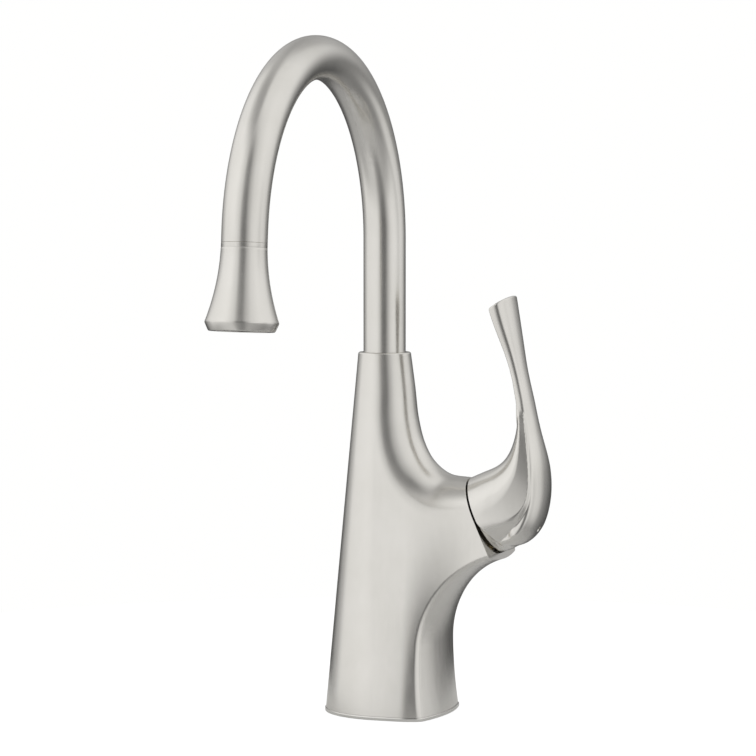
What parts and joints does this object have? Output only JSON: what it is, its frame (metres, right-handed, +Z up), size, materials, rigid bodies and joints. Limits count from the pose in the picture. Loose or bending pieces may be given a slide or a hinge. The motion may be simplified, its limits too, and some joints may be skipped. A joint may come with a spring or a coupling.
{
  "type": "gooseneck bar faucet",
  "caption": "Single-hole bar faucet with a swivelling gooseneck spout, a flared outlet, a tapered body with a side arm and a leaf-shaped single lever in satin nickel.",
  "frame": {"origin": "centre of the mounting plate's underside, in the deck plane, on the axis the spout turns about", "axes": "+Z up along the riser, the spout reaches towards -Y at rest, the side arm and the lever are towards +X"},
  "size_m": [0.1223, 0.2399, 0.353],
  "materials": {
    "satin_nickel": "satin brushed nickel",
    "trim_nickel": "polished nickel",
    "brass": "machined",
    "stainless": "machined",
    "ceramic": "polished ceramic",
    "black_rubber": "moulded",
    "dark_plastic": "satin moulded",
    "white_plastic": "satin moulded"
  },
  "bodies": {
    "base": {"body_shell": "satin_nickel", "base_trim_ring": "trim_nickel", "base_gasket": "black_rubber", "mounting_plate": "stainless", "plate_screw_front": "stainless", "plate_screw_rear": "stainless", "valve_body": "brass", "cold_inlet_fitting": "brass", "cold_inlet_seal": "black_rubber", "hot_inlet_fitting": "brass", "hot_inlet_seal": "black_rubber", "spout_retaining_clip": "stainless", "lower_glide_ring": "white_plastic", "upper_glide_ring": "white_plastic", "port_seal": "black_rubber", "cartridge_base": "white_plastic", "fixed_disc": "ceramic", "cartridge_housing": "dark_plastic", "retaining_nut": "brass", "bonnet": "dark_plastic"},
    "spout": {"spout_tube": "satin_nickel", "spout_spigot": "brass", "spout_seal_lower": "black_rubber", "spout_seal_upper": "black_rubber", "outlet_bell": "satin_nickel", "outlet_adapter": "brass", "aerator_seal": "black_rubber", "aerator_housing": "dark_plastic", "aerator_screen": "stainless", "flow_regulator": "white_plastic"},
    "driver": {"stem_driver": "brass", "pivot_pin": "stainless"},
    "handle": {"lever_handle": "satin_nickel", "lever_stem": "stainless", "handle_set_screw": "stainless"},
    "disc": {"moving_disc": "ceramic", "disc_carrier": "white_plastic"}
  },
  "joints": [
    {"name": "spout_swivel", "type": "hinge", "parent": "base", "child": "spout", "pos_m": [0, 0, 0.14], "axis": [0, 0, 1], "continuous": true},
    {"name": "handle_temperature", "type": "hinge", "parent": "base", "child": "driver", "pos_m": [0.0572, 0, 0.1051], "axis": [0.9135, 0, 0.4067], "range_deg": [-45, 45]},
    {"name": "handle_flow", "type": "hinge", "parent": "driver", "child": "handle", "pos_m": [0.06268, 0, 0.10754], "axis": [0, 1, 0], "range_deg": [0, 18]},
    {"name": "disc_shift", "type": "slide", "parent": "driver", "child": "disc", "axis": [-0.4067, 0, 0.9135], "range_m": [0, 0.0076]}
  ],
  "couplings": [
    {"joint": "disc_shift", "follows": "handle_flow", "m_per_rad": 0.024}
  ]
}
